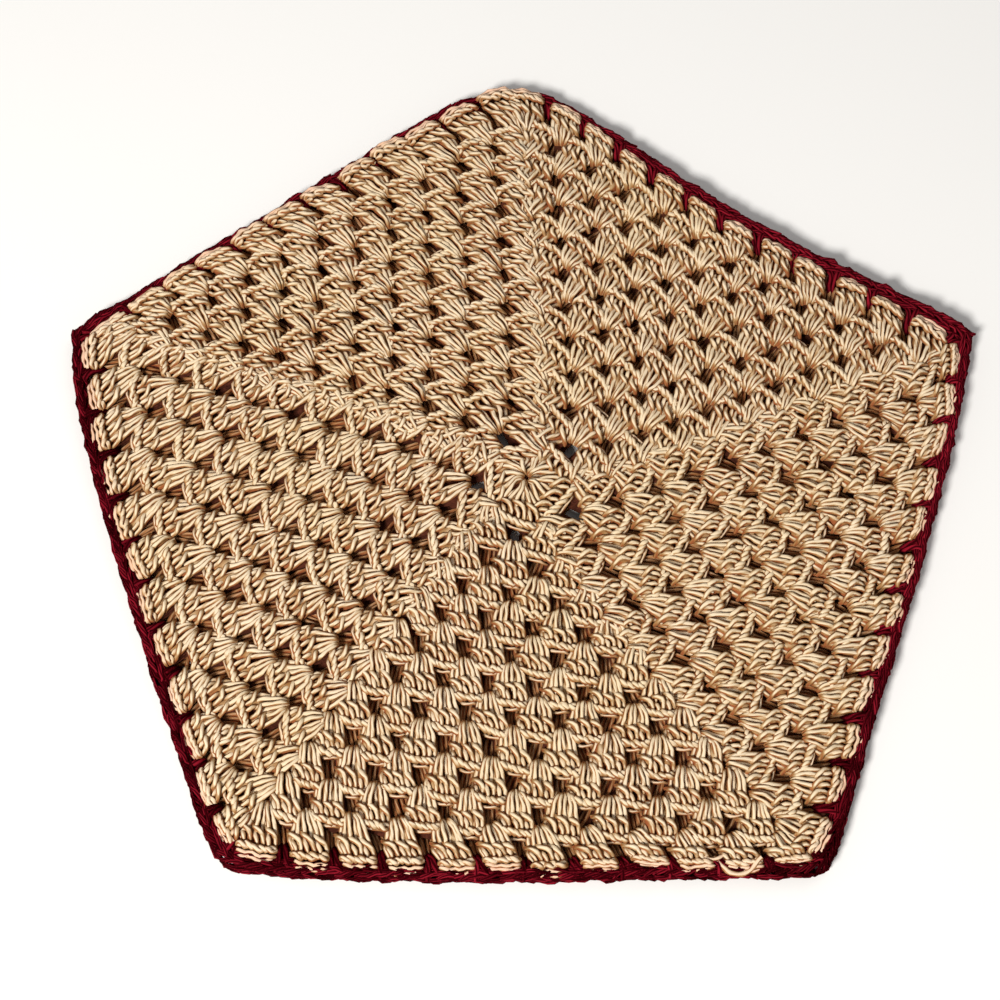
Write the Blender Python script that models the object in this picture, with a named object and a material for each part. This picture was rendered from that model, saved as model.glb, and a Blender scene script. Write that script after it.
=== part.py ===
"""Crocheted pot holder: two five-sided panels of cluster stitch, one on the other,
joined round the rim by a narrow edging whose stitches reach in between the outermost clusters.

It lies flat. Metres, +Z up. The origin is on the surface that it lies on, in the middle of the
mat's width and depth. +Y points to the corner that is opposite a side.
"""

import math

import bmesh
import bpy
from mathutils import Matrix, Vector

MM = 0.001

# Size of the whole mat and of its stitches
ROUNDS = 12
SIDES = 5
CORNER_RADIUS = 118.0 * MM        # centre to a typical unrounded corner
FIRST_HOLE_RADIUS = 8.0 * MM      # centre to the corner space that ends the first round
ROUND_STEP = 9.27 * MM            # one round, measured along a corner line
START = Vector((0.8, -5.6, 0.0)) * MM   # where the rounds start, from the origin

# The rounds turn a little about the centre, most of all in the middle
TWIST_EDGE_DEG = -1.2
TWIST_MIDDLE_DEG = -19.0
TWIST_FADE = 28.0 * MM

# Layers, from the surface up
GAP = 0.3 * MM
PANEL_THICKNESS = 2.8 * MM
EDGING_HIGH = 5.8 * MM            # where the edging stands beside the front panel
EDGING_LOW = PANEL_THICKNESS      # where the front panel rolls out over it
EDGING_MIN_WIDTH = 2.0 * MM
EDGING_SWELL = 0.3 * MM           # how far a stitch of the edging swells between two bars
EDGING_SOFT = 0.8 * MM            # how far its top and foot are rounded off
EDGING_CREST = 0.45               # share of its width at which it is highest
EDGING_FOOT = 0.25                # share of its width at which it leaves the surface

# Heights in the front panel's relief, above its own flat underside
PIT_FLOOR = 0.5 * MM
RIM_HEIGHT = 1.6 * MM
BASE_HEIGHT = 1.3 * MM
PIT_LIP = 1.6 * MM
CHAIN_HEIGHT = 2.5 * MM
CLUSTER_HEIGHT = 3.2 * MM
CLUSTER_CREST = 0.56              # share of a cluster's length at which it is highest

# The gap between two clusters of a round, widest at its inner end
PIT_START = 0.08                  # share of the way from one round's chain to the next
PIT_END = 0.60
PIT_INNER_HALF = 1.6 * MM
PIT_OUTER_HALF = 1.1 * MM
PIT_TAPER = 0.12                  # how much smaller its floor is than its mouth
HOLE_ROUND = 2                    # the round whose gaps are widest and go right through
HOLE_END = 0.66
HOLE_HALF = 2.15 * MM

# Notches in the rim, and the bars of edging stitch that lie in them
NOTCH_START = 0.36
CORNER_NOTCH_START = 0.45
NOTCH_HALF = 1.4 * MM
BAR_HALF = 0.8 * MM
BAR_FOOT = 0.30 * MM              # how far a bar's foot spreads along the edging
CLUSTER_BULGE = 0.35 * MM         # how far an outermost cluster bows out of the rim

# Corner and the side that follows it, going round anticlockwise seen from above.
# bow_*: how far the side lies outside the straight line between its corners.
# band_*: how wide the edging shows beside the front panel.
OUTLINE_COLUMNS = ("corner", "angle_deg", "radius_mm", "rounding_mm",
                   "bow_first_mm", "bow_middle_mm", "bow_last_mm",
                   "band_first_mm", "band_middle_mm", "band_last_mm")
OUTLINE = (
    ("right",       19.1, 118.0, 0.6, -0.8, -2.4,  0.9, 4.0, 3.0, 0.3),
    ("top",         92.3, 112.0, 4.3,  1.1,  0.9,  0.4, 0.3, 1.3, 3.0),
    ("left",       161.0, 119.0, 0.7,  3.2,  3.0,  1.2, 3.0, 3.2, 3.9),
    ("lower_left", 233.4, 117.5, 2.2,  1.2,  1.2, -0.1, 3.9, 2.8, 4.3),
    ("lower_right", 305.8, 118.3, 2.4, -0.6, 1.1,  1.4, 4.3, 2.7, 4.0),
)
BOW_AT = 0.6                      # where bow_first and bow_last are measured, from -1 to 1
ROUNDING_POWER = 14               # the higher, the closer to the corner the rounding stays
TOP_ROUNDING_POWER = 9
T_STEP = 0.02                     # half the stretch over which the way along a side is read


def corner(side):
    """Unrounded corner where a side begins."""
    row = dict(zip(OUTLINE_COLUMNS, OUTLINE[side % SIDES]))
    angle = math.radians(row["angle_deg"])
    return Vector((math.cos(angle), math.sin(angle))) * row["radius_mm"] * MM


def outward(side):
    """Direction square to a side, away from the centre."""
    along = (corner(side + 1) - corner(side)).normalized()
    return Vector((along.y, -along.x))


def bow(side, t):
    """How far the side stands out of its chord at t, which runs from -1 to 1 along it."""
    row = dict(zip(OUTLINE_COLUMNS, OUTLINE[side % SIDES]))
    first = row["bow_first_mm"] * MM
    middle = row["bow_middle_mm"] * MM
    last = row["bow_last_mm"] * MM
    fall = 1.0 - BOW_AT ** 2
    lean = (last - first) / (2.0 * BOW_AT * fall)
    belly = ((last + first) / (2.0 * fall) - middle) / BOW_AT ** 2
    return (1.0 - t * t) * (middle + lean * t + belly * t * t)


def rounding(side, t):
    """How much of the radius a rounded corner takes away at t."""
    nearest = side % SIDES if t < 0 else (side + 1) % SIDES
    row = dict(zip(OUTLINE_COLUMNS, OUTLINE[nearest]))
    power = TOP_ROUNDING_POWER if row["corner"] == "top" else ROUNDING_POWER
    return row["rounding_mm"] * MM * abs(t) ** power


def band(side, t):
    """Width in which the edging shows beside the front panel at t."""
    row = dict(zip(OUTLINE_COLUMNS, OUTLINE[side % SIDES]))
    end = row["band_first_mm"] if t < 0 else row["band_last_mm"]
    return (row["band_middle_mm"] + (end - row["band_middle_mm"]) * t * t) * MM


def edging_width(side, t):
    """Width of the edging: as wide as it shows, or its least width under a rolled rim."""
    return max(EDGING_MIN_WIDTH, band(side, t) - CLUSTER_BULGE - GAP)


def stands_high(side, t):
    """True where the front panel's rim leaves the edging room to stand beside it."""
    return band(side, t) - CLUSTER_BULGE - GAP >= EDGING_MIN_WIDTH


def twisted(point):
    """The point turned about the centre as the rounds are there."""
    fade = math.exp((FIRST_HOLE_RADIUS - point.length) / TWIST_FADE)
    turn = math.radians(TWIST_EDGE_DEG + TWIST_MIDDLE_DEG * fade)
    return Matrix.Rotation(turn, 2) @ point


def on_side(side, share, t):
    """A point of the side's own shape, drawn in towards the centre to the given share."""
    chord = corner(side).lerp(corner(side + 1), (t + 1.0) / 2.0)
    point = chord * share + outward(side) * bow(side, t) * share ** 3
    reach = max(point.length, MM)
    return point * (1.0 - rounding(side, t) * share ** 6 / reach)


def from_outline(side, t, depth):
    """A point at the given depth inside the mat's outline."""
    point = on_side(side, 1.0, t)
    return point * (1.0 - depth / point.dot(outward(side)))


def spot(side, level, t):
    """A point of the pattern: level counts rounds from the centre, t runs along the side."""
    inner_level = min(level, ROUNDS - 1)
    radius = FIRST_HOLE_RADIUS + ROUND_STEP * (inner_level - 1)
    if inner_level < 1:
        radius = FIRST_HOLE_RADIUS * inner_level
    inner = twisted(on_side(side, radius / CORNER_RADIUS, t))
    if level <= ROUNDS - 1:
        return inner
    return inner.lerp(from_outline(side, t, band(side, t)), level - inner_level)


def gap_line(side, level, index):
    """Inner and outer end of the gap before a cluster, and the direction along the side.

    Gap 0 lies on the corner line, where the two clusters of a corner share one space.
    """
    t = -1.0 + 2.0 * index / level
    outer = spot(side, level, t)
    if index == 0:
        inner = spot(side, level - 1, -1.0)
        along = Vector((-outer.y, outer.x)).normalized()
    else:
        inner = spot(side, level - 1, -1.0 + 2.0 * (index - 0.5) / (level - 1))
        along = (spot(side, level, t + T_STEP) - spot(side, level, t - T_STEP)).normalized()
    return inner, outer, along


def pit_corners(side, level, index):
    """Inner left, inner right, outer right and outer left corner of a gap."""
    inner, outer, along = gap_line(side, level, index)
    if level == HOLE_ROUND:
        start, end, wide, narrow = PIT_START, HOLE_END, HOLE_HALF, HOLE_HALF
    else:
        start, end, wide, narrow = PIT_START, PIT_END, PIT_INNER_HALF, PIT_OUTER_HALF
    near = inner.lerp(outer, start)
    far = inner.lerp(outer, end)
    return near - along * wide, near + along * wide, far + along * narrow, far - along * narrow


def notch_corners(side, index):
    """The notch before an outermost cluster: rim left, inner left, inner right, rim right."""
    inner, outer, along = gap_line(side, ROUNDS, index)
    near = inner.lerp(outer, CORNER_NOTCH_START if index == 0 else NOTCH_START)
    offset = along * NOTCH_HALF
    return outer - offset, near - offset, near + offset, outer + offset


def bar_line(side, index):
    """Where a bar crosses the edging: its outer and inner place, and the ways along and out."""
    t = -1.0 + 2.0 * index / ROUNDS
    inner, outer, along = gap_line(side, ROUNDS, index)
    out = (outer - inner).normalized()
    outer += out * band(side, t)
    return outer, outer - out * edging_width(side, t), along, out


class Net:
    """A mesh under construction whose corners are found again by name."""

    def __init__(self):
        self.mesh = bmesh.new()
        self.corners = {}

    def corner(self, name, place, height):
        if name not in self.corners:
            self.corners[name] = self.mesh.verts.new((place.x, place.y, height))
        return self.corners[name]

    def face(self, *corners):
        distinct = []
        for each in corners:
            if each not in distinct:
                distinct.append(each)
        if len(distinct) > 2:
            self.mesh.faces.new(distinct)

    def fan(self, middle, ring):
        for first, second in zip(ring, ring[1:] + ring[:1]):
            self.face(middle, first, second)

    def fill(self, rings):
        """Closes a flat face that has an outline and holes."""
        edges = []
        for ring in rings:
            for first, second in zip(ring, ring[1:] + ring[:1]):
                edge = self.mesh.edges.get((first, second))
                edges.append(edge or self.mesh.edges.new((first, second)))
        bmesh.ops.triangle_fill(self.mesh, edges=edges, use_beauty=True, normal=(0, 0, 1))

    def finish(self, name, material):
        bmesh.ops.translate(self.mesh, verts=self.mesh.verts, vec=START)
        bmesh.ops.recalc_face_normals(self.mesh, faces=self.mesh.faces)
        bmesh.ops.triangulate(self.mesh, faces=self.mesh.faces)
        data = bpy.data.meshes.new(name)
        self.mesh.to_mesh(data)
        self.mesh.free()
        data.materials.append(material)
        made = bpy.data.objects.new(name, data)
        bpy.context.scene.collection.objects.link(made)
        return made


def front_rim_ring(net, floor, height, layer):
    """The front panel's outline with its notches, as corners in order round the mat."""
    ring = []
    for side in range(SIDES):
        for index in range(ROUNDS):
            names = ("rim_l", "in_l", "in_r", "rim_r")
            for name, place in zip(names, notch_corners(side, index)):
                ring.append(net.corner((layer, name, side, index), place, floor + height))
            t = -1.0 + 2.0 * (index + 0.5) / ROUNDS
            place = from_outline(side, t, band(side, t) - CLUSTER_BULGE)
            ring.append(net.corner((layer, "bulge", side, index), place, floor + height))
    return ring


def back_rim_ring(net, floor, height, layer):
    """The back panel's outline, which keeps clear of the edging all round."""
    ring = []
    for side in range(SIDES):
        for index in range(ROUNDS):
            _, in_left, in_right, _ = notch_corners(side, index)
            _, root, along, out = bar_line(side, index)
            edge = root - out * GAP
            places = (edge - along * NOTCH_HALF, in_left, in_right, edge + along * NOTCH_HALF)
            for part, place in zip(("rim_l", "in_l", "in_r", "rim_r"), places):
                ring.append(net.corner((layer, part, side, index), place, floor + height))
            middle = -1.0 + 2.0 * (index + 0.5) / ROUNDS
            place = from_outline(side, middle, edging_width(side, middle) + GAP)
            ring.append(net.corner((layer, "bulge", side, index), place, floor + height))
    return ring


def hole_ring(net, side, height, layer):
    """One of the five gaps that go through, at a given height."""
    corners = pit_corners(side, HOLE_ROUND, 1)
    return [net.corner((layer, "hole", side, place), xy, height)
            for place, xy in enumerate(corners)]


def wall(net, lower, upper):
    """Faces between two rings that have the same corners."""
    count = len(lower)
    for here in range(count):
        after = (here + 1) % count
        net.face(lower[here], lower[after], upper[after], upper[here])


def flat_panel(name, floor, material):
    """The panel that lies underneath: level on both faces, with the rim's notches."""
    net = Net()
    rings = {}
    for layer, height in (("under", 0.0), ("over", PANEL_THICKNESS)):
        rings[layer] = [back_rim_ring(net, floor, height, layer)]
        rings[layer] += [hole_ring(net, side, floor + height, layer) for side in range(SIDES)]
        net.fill(rings[layer])
    for lower, upper in zip(rings["under"], rings["over"]):
        wall(net, lower, upper)
    return net.finish(name, material)


def relief_panel(name, floor, material):
    """The panel on top: every cluster stands up, with a pit at each gap between two."""
    net = Net()
    rim = front_rim_ring(net, floor, RIM_HEIGHT, "over")
    under = [front_rim_ring(net, floor, 0.0, "under")]
    under += [hole_ring(net, side, floor, "under") for side in range(SIDES)]
    net.fill(under)
    wall(net, under[0], rim)
    for level in range(1, ROUNDS + 1):
        for side in range(SIDES):
            for index in range(level):
                cluster(net, floor, level, side, index)
                if 0 < index and level < ROUNDS:
                    gap_floor(net, floor, level, side, index, under)
                if 0 < index:
                    chain(net, floor, level, side, index)
                elif level == ROUNDS:
                    corner_chain(net, floor, side)
    return net.finish(name, material)


def base_corner(net, floor, level, side, index):
    """The space that a cluster of the next round is worked into."""
    if level == 0:
        return net.corner(("base", 0), Vector((0.0, 0.0)), floor + BASE_HEIGHT)
    whole = (side * level + index) % (SIDES * level)
    side, index = divmod(whole, level)
    place = spot(side, level, -1.0 + 2.0 * index / level)
    return net.corner(("base", level, whole), place, floor + BASE_HEIGHT)


def chain_corner(net, floor, level, side, index):
    """The middle of a cluster's outer edge."""
    if level == ROUNDS:
        return net.corners[("over", "bulge", side, index)]
    place = spot(side, level, -1.0 + 2.0 * (index + 0.5) / level)
    return net.corner(("chain", level, side, index), place, floor + CHAIN_HEIGHT)


def pit_corner(net, floor, level, side, index, which):
    place = pit_corners(side, level, index)[which]
    return net.corner(("pit", level, side, index, which), place, floor + PIT_LIP)


def cluster(net, floor, level, side, index):
    """One cluster, as a fan of faces round its raised middle."""
    base = base_corner(net, floor, level - 1, side, index)
    after_side, after_index = divmod(side * level + index + 1, level)
    after_side %= SIDES
    ring = [base]
    if level == ROUNDS:
        ring += [net.corners[("over", part, after_side, after_index)]
                 for part in ("in_l", "rim_l")]
        ring.append(chain_corner(net, floor, level, side, index))
        ring += [net.corners[("over", part, side, index)] for part in ("rim_r", "in_r")]
    else:
        if after_index > 0:
            ring += [pit_corner(net, floor, level, side, index + 1, which) for which in (0, 3)]
        ring.append(base_corner(net, floor, level, side, index + 1))
        ring.append(chain_corner(net, floor, level, side, index))
        ring.append(base_corner(net, floor, level, side, index))
        if index > 0:
            ring += [pit_corner(net, floor, level, side, index, which) for which in (2, 1)]
    t = -1.0 + 2.0 * (index + 0.5) / level
    inner = Vector(base.co.xy)
    middle = inner.lerp(spot(side, level, t), CLUSTER_CREST)
    net.fan(net.corner(("top", level, side, index), middle, floor + CLUSTER_HEIGHT), ring)


def gap_floor(net, floor, level, side, index, under):
    """The sunk floor and steep walls of a gap, or the walls of one that goes through."""
    lip = [pit_corner(net, floor, level, side, index, which) for which in range(4)]
    net.face(lip[3], lip[2], base_corner(net, floor, level, side, index))
    if level == HOLE_ROUND:
        wall(net, under[1 + side], lip)
        return
    low = [net.corner(("floor", level, side, index, which), place, floor + PIT_FLOOR)
           for which, place in enumerate(pit_corners(side, level, index))]
    middle = sum((each.co for each in low), Vector()) / len(low)
    for each in low:
        each.co = each.co.lerp(middle, PIT_TAPER)
    wall(net, low, lip)
    net.face(*low)


def chain(net, floor, level, side, index):
    """The strip between a gap and the chain of the round before, which it opens above."""
    left = base_corner(net, floor, level - 1, side, index - 1)
    right = base_corner(net, floor, level - 1, side, index)
    top = chain_corner(net, floor, level - 1, side, index - 1)
    if level == ROUNDS:
        near_left = net.corners[("over", "in_l", side, index)]
        near_right = net.corners[("over", "in_r", side, index)]
    else:
        near_left = pit_corner(net, floor, level, side, index, 0)
        near_right = pit_corner(net, floor, level, side, index, 1)
    net.face(left, top, near_left)
    net.face(top, near_right, near_left)
    net.face(top, right, near_right)


def corner_chain(net, floor, side):
    """The face between a corner space and the notch that lies outside it."""
    base = base_corner(net, floor, ROUNDS - 1, side, 0)
    net.face(base, net.corners[("over", "in_r", side, 0)], net.corners[("over", "in_l", side, 0)])


def edging_column(net, outer, inner, tall, key):
    """One cross-section of the edging, as six corners going round it."""
    top = EDGING_HIGH if tall else EDGING_LOW
    section = (
        (outer, EDGING_SOFT),
        (outer, top - EDGING_SOFT),
        (outer.lerp(inner, EDGING_CREST), top),
        (inner, top - EDGING_SOFT),
        (inner, 0.0),
        (outer.lerp(inner, EDGING_FOOT), 0.0),
    )
    return [net.corner((key, place), xy, height) for place, (xy, height) in enumerate(section)]


def edging(name, material):
    """The edging all round, with a bar reaching into each notch of both panels."""
    net = Net()
    columns = []
    bars = []
    for side in range(SIDES):
        for index in range(ROUNDS):
            t = -1.0 + 2.0 * index / ROUNDS
            outer, root, along, out = bar_line(side, index)
            beside = stands_high(side, t)
            for shift, tall in ((-BAR_HALF - BAR_FOOT, beside), (-BAR_HALF, True),
                                (BAR_HALF, True), (BAR_HALF + BAR_FOOT, beside)):
                columns.append(edging_column(net, outer + along * shift, root + along * shift,
                                             tall, (side, index, shift)))
            notch = notch_corners(side, index)
            deep = notch[1].lerp(notch[2], 0.5) + out * GAP
            bars.append((len(columns) - 3, deep, along))
            t += 1.0 / ROUNDS
            columns.append(edging_column(net, from_outline(side, t, -EDGING_SWELL),
                                         from_outline(side, t, edging_width(side, t)),
                                         stands_high(side, t), (side, index, "middle")))
    barred = {place for place, _, _ in bars}
    for here, column in enumerate(columns):
        after = columns[(here + 1) % len(columns)]
        for lower in range(6):
            upper = (lower + 1) % 6
            if here in barred and lower == 3:
                continue
            net.face(column[lower], after[lower], after[upper], column[upper])
    for here, deep, along in bars:
        before, after = columns[here], columns[here + 1]
        root = [before[3], after[3], after[4], before[4]]
        tip = []
        for place, end in enumerate(root):
            shift = -BAR_HALF if place in (0, 3) else BAR_HALF
            tip.append(net.corner((here, "tip", place), deep + along * shift, end.co.z))
        wall(net, root, tip)
        net.face(*tip)
    return net.finish(name, material)


def yarn(name, colour, roughness):
    """A plain material in the colour of one yarn."""
    made = bpy.data.materials.new(name)
    made.use_nodes = True
    shader = made.node_tree.nodes["Principled BSDF"]
    shader.inputs["Base Color"].default_value = (*colour, 1.0)
    shader.inputs["Roughness"].default_value = roughness
    shader.inputs["Metallic"].default_value = 0.0
    made.diffuse_color = (*colour, 1.0)
    return made


def main():
    for old in list(bpy.data.objects):
        bpy.data.objects.remove(old, do_unlink=True)
    cream = yarn("cream_cotton", (0.62, 0.43, 0.25), 0.85)
    red = yarn("dark_red_cotton", (0.10, 0.008, 0.006), 0.80)
    flat_panel("back_panel", 0.0, cream)
    relief_panel("front_panel", PANEL_THICKNESS + GAP, cream)
    edging("edging", red)


main()
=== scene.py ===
"""Looks of a crocheted pot holder: every strand of its panels and edging as a tube of yarn.

Each panel is worked in twelve rounds of clusters, three trebles to a cluster. A cluster is drawn
as a pattern of strands, and Geometry Nodes work the pattern at every place of a sector, bent to
the place's own base, length and width. The edging, its bars and the loose yarn are made the same
way. Lengths are in metres, and in the CAD model's frame, whose outline and rounds are repeated
here. Patterns give heights in millimetres.
"""

import math
import random

import bmesh
import bpy
from bpy.props import FloatProperty, FloatVectorProperty, IntProperty, PointerProperty
from mathutils import Matrix, Vector


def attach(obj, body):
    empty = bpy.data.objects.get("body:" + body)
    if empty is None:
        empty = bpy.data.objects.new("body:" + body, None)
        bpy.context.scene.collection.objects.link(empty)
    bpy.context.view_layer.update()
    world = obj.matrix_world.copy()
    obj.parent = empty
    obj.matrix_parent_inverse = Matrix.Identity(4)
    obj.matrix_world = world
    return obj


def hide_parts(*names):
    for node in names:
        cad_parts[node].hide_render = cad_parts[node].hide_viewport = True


bl_info = {
    "name": "Crocheted Pot Holder",
    "version": (1, 0, 0),
    "blender": (4, 5, 0),
    "location": "3D View > Sidebar > Pot Holder",
    "description": "Works the stitches, the edging and the stage of a crocheted pot holder",
    "category": "Object",
}

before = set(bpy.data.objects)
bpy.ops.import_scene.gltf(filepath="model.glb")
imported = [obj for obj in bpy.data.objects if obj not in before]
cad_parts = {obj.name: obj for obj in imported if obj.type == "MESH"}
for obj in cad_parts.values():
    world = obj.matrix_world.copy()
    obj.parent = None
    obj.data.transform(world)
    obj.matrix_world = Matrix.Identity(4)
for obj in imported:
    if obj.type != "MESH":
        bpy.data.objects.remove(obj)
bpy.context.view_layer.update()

MM = 0.001

# The mat's shape, as the CAD model has it
ROUNDS = 12
LAST_RING = ROUNDS - 0.5  # the last level that is an even ring: beyond it comes the rim
SIDES = 5
CORNER_RADIUS = 118.0 * MM
FIRST_HOLE_RADIUS = 8.0 * MM
ROUND_STEP = 9.27 * MM
START = Vector((0.8, -5.6, 0.0)) * MM
TWIST_EDGE_DEG = -1.2
TWIST_MIDDLE_DEG = -19.0
TWIST_FADE = 28.0 * MM
FRONT_FLOOR = 3.1 * MM
EDGING_MIN_WIDTH = 2.0 * MM
EDGING_CLEAR = 0.65 * MM
OUTLINE_COLUMNS = (
    "corner", "angle_deg", "radius_mm", "rounding_mm", "bow_first_mm", "bow_middle_mm",
    "bow_last_mm", "band_first_mm", "band_middle_mm", "band_last_mm")
OUTLINE = (
    ("right",       19.1, 118.0, 0.6, -0.8, -2.4,  0.9, 4.0, 3.0, 0.3),
    ("top",         92.3, 112.0, 4.3,  1.1,  0.9,  0.4, 0.3, 1.3, 3.0),
    ("left",       161.0, 119.0, 0.7,  3.2,  3.0,  1.2, 3.0, 3.2, 3.9),
    ("lower_left", 233.4, 117.5, 2.2,  1.2,  1.2, -0.1, 3.9, 2.8, 4.3),
    ("lower_right", 305.8, 118.3, 2.4, -0.6, 1.1,  1.4, 4.3, 2.7, 4.0),
)
BOW_AT = 0.6  # how far along its side a bow is given, from the middle
BOW_FADE, ROUNDING_FADE = 3, 6  # powers by which bows and rounded corners fade inwards
ROUNDING_POWER = 14
TOP_ROUNDING_POWER = 9

# How the clusters lie between their base and their chain
BASE_HALF = 3.2 * MM  # half the width at the space that a cluster is worked into
FIRST_BASE_HALF = 1.3 * MM  # the same in the first round, round the middle
FIRST_BASE_SHARE = 0.3  # how far from the middle the first round's bases lie
RIM_LINES = 1.40  # how far out the rim's extra lines run, the chain being at 1
RIM_OVERLAP = 1.9 * MM  # how far the last round lies over the edging in front
RIM_LEAN = 1.0 * MM  # half of how much less it does so at the far side
RIM_LEAST = 0.3 * MM  # how far inside the outline it ends at least
# Half width of a cluster, as a share of half the room it has, by sides
SPREAD = (0.80, 0.86, 0.84, 0.76, 0.80)
RIM_SPREAD = (0.80, 0.92, 0.82, 0.76, 0.78)
BACK_SPREAD = 0.80
LEG_GIRTH = 1.42  # how thick a leg is for its cluster's width
SPREAD_AT = 0.40  # how far out a cluster reaches its full width
BASE_START = -0.28  # where a cluster's strands come out of the gap before it
FOOT_SLOPE = 1.7  # how fast they part there
DOME = 1.2  # how much higher a cluster's middle lies than its sides, in mm
DOME_LEVEL = 0.45  # share of it by which the middle stands over the pattern
END_DIP = 1.1  # how far a wavy line's ends go down, in mm
WAVE_LIFT = 7.0  # how high its waves rise for how far they sway, in mm
# Painted shade: a negative tint value that darkens the strands inside a cluster.
SHADED = -1.0  # the blush of strands inside a cluster, which are in shade
RISE_SPREAD = 0.04  # how unevenly high clusters are
BACK_LIFT = 1.7 * MM  # where the back panel's stitches start, facing down
BACK_FLATNESS = 0.3  # their height, as a share of the front panel's

# The grounds that the stitches stand on, with their gaps and notches
FRONT_GROUND_LIFT = 0.5 * MM  # over the front panel's floor
GROUND_THICKNESS = 0.4 * MM
GAP_START, GAP_END = 0.14, 0.86  # a gap's ends between one round's chain and the next
GAP_HALF = 1.8 * MM
NARROWER = 0.55  # width of the five holes in the back panel, as a share of it
NOTCH_START, NOTCH_END = 0.15, 0.82
NOTCH_HALF = 1.7 * MM
GROUND_INSET = 1.5 * MM  # how far a ground's edge lies inside its last round

# How each side's stitches stray from the even rounds, in mm: at the centre, and the growth with
# every 100 mm of x and of y
STRAY = (
    ((0.6, -0.9), (-4.1, 1.0), (0.3, -0.7)),
    ((0.0, -3.3), (-1.9, -3.4), (-0.5, 1.4)),
    ((2.5, -1.1), (1.7, -1.1), (1.3, 0.0)),
    ((1.1, -1.8), (-5.4, -0.8), (-0.2, -1.9)),
    ((0.7, -1.4), (-0.9, 1.4), (0.3, -3.9)),
)
MOST_SLIDE = 3.5 * MM  # the most by which a stitch is moved along the rim
SLIDE_FADE = 8  # the power by which that fades towards the corners

# Stitches and bars of the edging
EDGING_STITCHES = 5  # to each outermost cluster
EDGING_INSET = 0.45 * MM  # from the outline to a stitch's outer side
EDGING_UNDER = 0.3 * MM  # how far a stitch reaches in beyond the band that shows
LOW_EDGING = 0.8  # its height under a rolled rim, as a share
ROLLED_FROM = 0.7  # room for the edging, as a share, where it is that low
BAR_BAND = 2.4 * MM  # width of the band from which bars are full ones
BAR_CREST = 0.3  # how far out on the band a bar's crest lies, as a share
BAR_INSET, LOW_BAR_INSET = 0.9 * MM, 1.2 * MM  # less this, and this more for the least bars
BAR_HALF, WIDER_BAR = 0.3 * MM, 0.6 * MM  # a least bar's half width, and what is added
LOW_BAR = 0.6  # height of the least bars, as a share


def outline_row(side):
    """What the outline says of a side and of the corner where it begins."""
    return dict(zip(OUTLINE_COLUMNS, OUTLINE[side % SIDES]))


def corner(side):
    """Unrounded corner where a side begins."""
    row = outline_row(side)
    angle = math.radians(row["angle_deg"])
    return Vector((math.cos(angle), math.sin(angle))) * row["radius_mm"] * MM


def outward(side):
    """Direction square to a side, away from the centre."""
    along = (corner(side + 1) - corner(side)).normalized()
    return Vector((along.y, -along.x))


def bow(side, t):
    """How far the side stands out of its chord at t, which runs from -1 to 1 along it."""
    row = outline_row(side)
    first, middle, last = (row[f"bow_{part}_mm"] * MM for part in ("first", "middle", "last"))
    fall = 1.0 - BOW_AT ** 2
    lean = (last - first) / (2.0 * BOW_AT * fall)
    belly = ((last + first) / (2.0 * fall) - middle) / BOW_AT ** 2
    return (1.0 - t * t) * (middle + lean * t + belly * t * t)


def rounding(side, t):
    """How much of the radius a rounded corner takes away at t."""
    row = outline_row(side if t < 0 else side + 1)
    power = TOP_ROUNDING_POWER if row["corner"] == "top" else ROUNDING_POWER
    return row["rounding_mm"] * MM * abs(t) ** power


def band(side, t):
    """Width in which the edging shows beside the front panel at t."""
    row = outline_row(side)
    end = row["band_first_mm"] if t < 0 else row["band_last_mm"]
    return (row["band_middle_mm"] + (end - row["band_middle_mm"]) * t * t) * MM


def edging_width(side, t):
    """Width of the edging: as wide as it shows, or its least width under a rolled rim."""
    return max(EDGING_MIN_WIDTH, band(side, t) - EDGING_CLEAR)


def twisted(point):
    """The point turned about the centre as the rounds are there."""
    fade = math.exp((FIRST_HOLE_RADIUS - point.length) / TWIST_FADE)
    turn = math.radians(TWIST_EDGE_DEG + TWIST_MIDDLE_DEG * fade)
    return Matrix.Rotation(turn, 2) @ point


def on_side(side, share, t):
    """A point of the side's own shape, drawn in towards the centre to the given share."""
    chord = corner(side).lerp(corner(side + 1), (t + 1.0) / 2.0)
    point = chord * share + outward(side) * bow(side, t) * share ** BOW_FADE
    reach = max(point.length, MM)
    return point * (1.0 - rounding(side, t) * share ** ROUNDING_FADE / reach)


def from_outline(side, t, depth):
    """A point at the given depth inside the mat's outline."""
    point = on_side(side, 1.0, t)
    return point * (1.0 - depth / point.dot(outward(side)))


def stray(side, point):
    """How far the side's stitches at the point lie from the even rounds."""
    start, across, along = (Vector(each) for each in STRAY[side % SIDES])
    return start * MM + across * (point.x / 100.0) + along * (point.y / 100.0)


def rim_spot(side, t, depth):
    """A point of the rim, moved along its side as the stitches there are."""
    point = from_outline(side, t, depth)
    along = (corner(side + 1) - corner(side)).normalized()
    slide = stray(side, point).dot(along)
    return point + along * max(-MOST_SLIDE, min(slide, MOST_SLIDE)) * (1.0 - t ** SLIDE_FADE)


def rim_depth(side, t):
    """Where the front panel's last round ends inside the outline.

    It lies over a part of the edging, the more of it the nearer the side is to the camera.
    """
    return max(RIM_LEAST, band(side, t) - RIM_OVERLAP + RIM_LEAN * (1.0 + outward(side).y))


def spot(side, level, t, depth=rim_depth):
    """A point of the pattern. The t runs along the side, and the level counts rounds outwards.

    A round's gaps lie at its own level and its chain half a round further out, but the last
    round ends at its own level, at the given depth inside the outline.
    """
    if t < -1.0:
        side, t = side - 1, t + 2.0
    ring = min(level, LAST_RING)
    radius = FIRST_HOLE_RADIUS + ROUND_STEP * (ring - 1)
    point = twisted(on_side(side, radius / CORNER_RADIUS, t))
    point += stray(side, point)
    if level <= LAST_RING:
        return point
    return point.lerp(rim_spot(side, t, depth(side, t)), (level - ring) / (ROUNDS - ring))


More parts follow.
